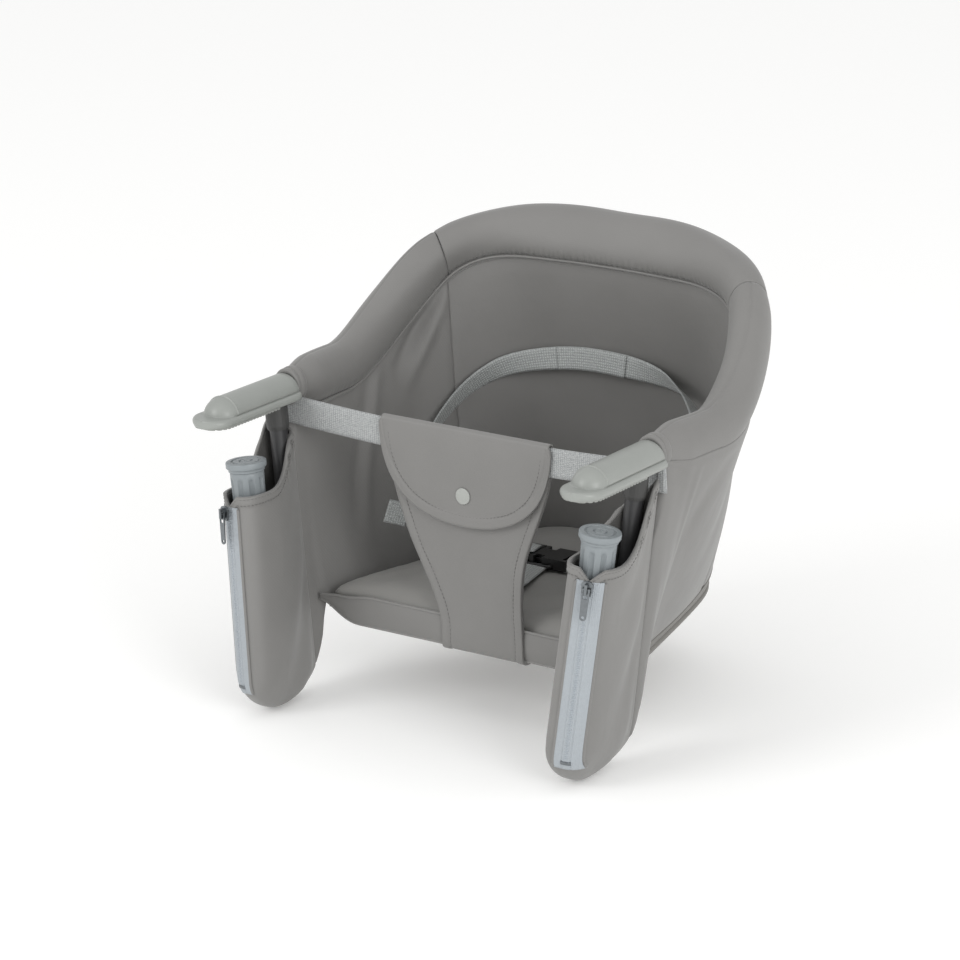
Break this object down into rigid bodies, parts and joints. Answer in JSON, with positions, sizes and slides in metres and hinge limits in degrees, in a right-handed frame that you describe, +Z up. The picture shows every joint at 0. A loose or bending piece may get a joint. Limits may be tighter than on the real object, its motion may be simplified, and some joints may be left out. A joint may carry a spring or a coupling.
{
  "type": "hook-on table chair",
  "caption": "Hook-on child seat: fabric bucket on a bent tube whose arms rest on a table, with zipped folding clamp legs and screw knobs below, waist belt and crotch flap.",
  "frame": {"origin": "midway between the two arms, level with the table top that they rest on", "axes": "+Z up, the chair faces -Y towards the table, +X to the sitter's left"},
  "size_m": [0.4076, 0.386, 0.3838],
  "materials": {
    "cloth": "warm grey woven polyester",
    "dark_cloth": "dark grey coated cloth",
    "webbing": "pale grey woven webbing",
    "zip_tape": "pale woven tape",
    "zip_coil": "nylon coil",
    "steel_tube": "grey powder coat",
    "screw_steel": "rolled thread, zinc plated",
    "zinc": "zinc casting, satin",
    "cap_plastic": "fine moulded texture",
    "knob_plastic": "fine moulded texture",
    "rubber": "soft ribbed rubber",
    "dark_plastic": "moulded",
    "black_plastic": "moulded acetal, satin",
    "snap": "pale lacquered snap",
    "plywood": "sanded, inside the seat"
  },
  "bodies": {
    "seat": {"top_tube": "steel_tube", "left_rim_roll": "cloth", "back_rim_roll": "cloth", "right_rim_roll": "cloth", "left_side_panel": "cloth", "back_panel": "cloth", "right_side_panel": "cloth", "base_cover": "dark_cloth", "seat_board": "plywood", "seat_cushion": "cloth", "bar_strap": "webbing", "crotch_panel": "cloth", "snap_socket": "snap", "waist_belt": "webbing", "buckle_body": "black_plastic"},
    "flap": {"crotch_flap": "cloth", "snap_cap": "snap"},
    "belt_tongue": {"buckle_tongue": "black_plastic", "belt_tail": "webbing"},
    "left_clamp": {"left_arm_cap": "cap_plastic", "left_grip_pad": "rubber", "left_leg_collar": "dark_plastic", "left_clamp_tube": "steel_tube", "left_spindle_nut": "zinc", "left_sleeve": "cloth", "left_zip_tape": "zip_tape", "left_zip_coil": "zip_coil", "left_zip_stop": "zinc"},
    "left_pad": {"left_knob_pad": "knob_plastic"},
    "left_knob": {"left_knob_grip": "knob_plastic", "left_spindle": "screw_steel"},
    "left_slider": {"left_zip_slider": "zinc"},
    "left_pull": {"left_zip_pull": "zinc"},
    "right_clamp": {"right_arm_cap": "cap_plastic", "right_grip_pad": "rubber", "right_leg_collar": "dark_plastic", "right_clamp_tube": "steel_tube", "right_spindle_nut": "zinc", "right_sleeve": "cloth", "right_zip_tape": "zip_tape", "right_zip_coil": "zip_coil", "right_zip_stop": "zinc"},
    "right_pad": {"right_knob_pad": "knob_plastic"},
    "right_knob": {"right_knob_grip": "knob_plastic", "right_spindle": "screw_steel"},
    "right_slider": {"right_zip_slider": "zinc"},
    "right_pull": {"right_zip_pull": "zinc"}
  },
  "joints": [
    {"name": "left_clamp_fold", "type": "hinge", "parent": "seat", "child": "left_clamp", "pos_m": [-0.1775, 0, 0.012], "axis": [0, -1, 0], "range_deg": [0, 84]},
    {"name": "left_pad_lift", "type": "slide", "parent": "left_clamp", "child": "left_pad", "axis": [-0.1045, 0, 0.9945], "range_m": [0, 0.022]},
    {"name": "left_knob_spin", "type": "hinge", "parent": "left_pad", "child": "left_knob", "pos_m": [-0.1775, 0, 0.012], "axis": [-0.1045, 0, 0.9945], "range_deg": [0, 1981]},
    {"name": "left_zip_run", "type": "slide", "parent": "left_clamp", "child": "left_slider", "axis": [0.1044, -0.0506, -0.9932], "range_m": [0, 0.125]},
    {"name": "left_pull_swing", "type": "hinge", "parent": "left_slider", "child": "left_pull", "pos_m": [-0.17674, -0.02799, -0.07721], "axis": [-0.9468, 0.306, -0.0995], "range_deg": [0, 150]},
    {"name": "right_clamp_fold", "type": "hinge", "parent": "seat", "child": "right_clamp", "pos_m": [0.1775, 0, 0.012], "axis": [0, 1, 0], "range_deg": [0, 60]},
    {"name": "right_pad_lift", "type": "slide", "parent": "right_clamp", "child": "right_pad", "axis": [0.1045, 0, 0.9945], "range_m": [0, 0.022]},
    {"name": "right_knob_spin", "type": "hinge", "parent": "right_pad", "child": "right_knob", "pos_m": [0.1775, 0, 0.012], "axis": [0.1045, 0, 0.9945], "range_deg": [0, 1981]},
    {"name": "right_zip_run", "type": "slide", "parent": "right_clamp", "child": "right_slider", "axis": [-0.1044, -0.0506, -0.9932], "range_m": [0, 0.125]},
    {"name": "right_pull_swing", "type": "hinge", "parent": "right_slider", "child": "right_pull", "pos_m": [0.17674, -0.02799, -0.07721], "axis": [-0.9468, -0.306, 0.0995], "range_deg": [0, 150]},
    {"name": "flap_fold", "type": "hinge", "parent": "seat", "child": "flap", "pos_m": [0, 0.0694, 0.0001], "axis": [-1, 0, 0], "range_deg": [0, 200]},
    {"name": "buckle_release", "type": "slide", "parent": "seat", "child": "belt_tongue", "axis": [-1, 0, 0], "range_m": [0, 0.018]}
  ],
  "couplings": [
    {"joint": "left_knob_spin", "follows": "left_pad_lift", "rad_per_m": 1570.8},
    {"joint": "right_knob_spin", "follows": "right_pad_lift", "rad_per_m": 1570.8}
  ]
}
